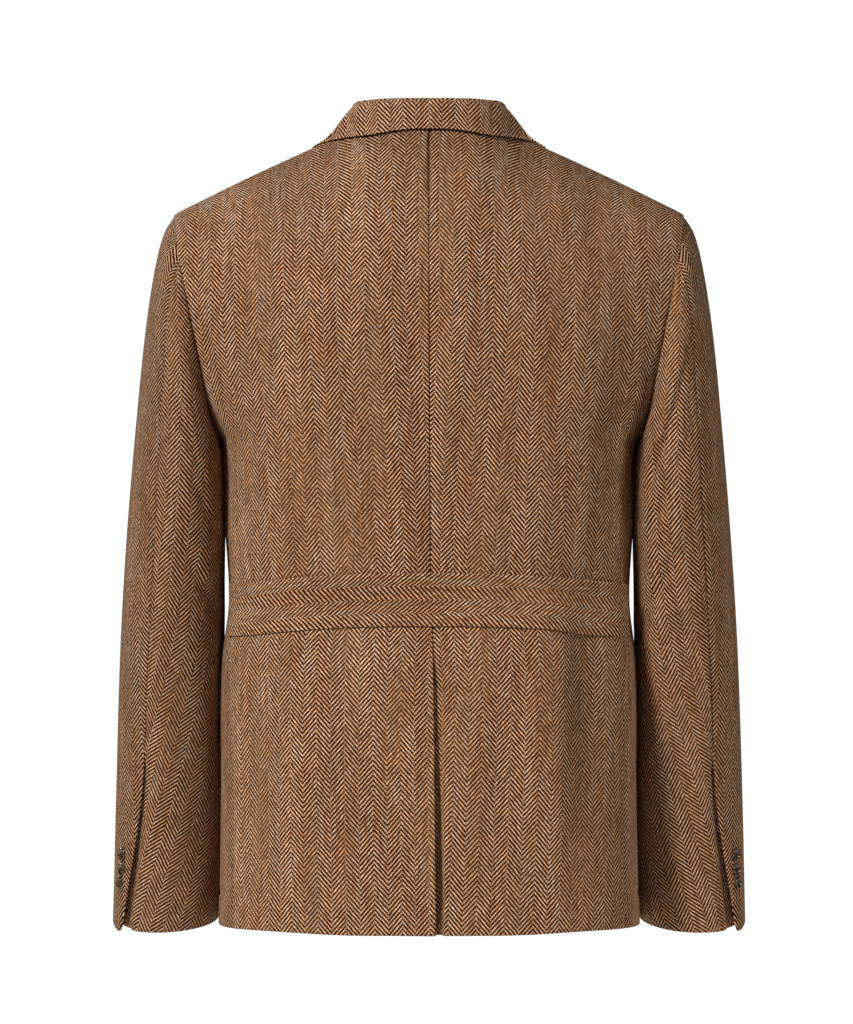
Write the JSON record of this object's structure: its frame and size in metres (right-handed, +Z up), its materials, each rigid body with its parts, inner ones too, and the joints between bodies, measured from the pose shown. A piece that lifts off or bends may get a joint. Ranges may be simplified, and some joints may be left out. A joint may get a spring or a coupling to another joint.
{
  "type": "sport coat",
  "caption": "Single-breasted herringbone sport coat with notch lapels, patch pockets, a half belt and a centre vent, filled out and hollow as if worn.",
  "frame": {"origin": "between the shoulders at the neck base, on the coat's middle plane, where the wearer's shoulders carry it", "axes": "+Z up, the coat faces -Y, its back is towards +Y and its left side is +X"},
  "size_m": [0.5674, 0.2763, 0.7431],
  "materials": {
    "tweed": "brown and tan herringbone wool tweed",
    "horn": "polished dark brown horn"
  },
  "bodies": {
    "root": {"back_left": "tweed", "back_right": "tweed", "half_belt": "tweed", "front_left": "tweed", "front_right": "tweed", "lapel_left": "tweed", "lapel_right": "tweed", "collar": "tweed", "top_sleeve_left": "tweed", "top_sleeve_right": "tweed", "under_sleeve_left": "tweed", "under_sleeve_right": "tweed", "patch_pocket_left": "tweed", "patch_pocket_right": "tweed", "cuff_button_left_1": "horn", "cuff_button_left_2": "horn", "cuff_button_left_3": "horn", "cuff_button_right_1": "horn", "cuff_button_right_2": "horn", "cuff_button_right_3": "horn", "front_button_1": "horn", "front_button_2": "horn"}
  },
  "joints": []
}
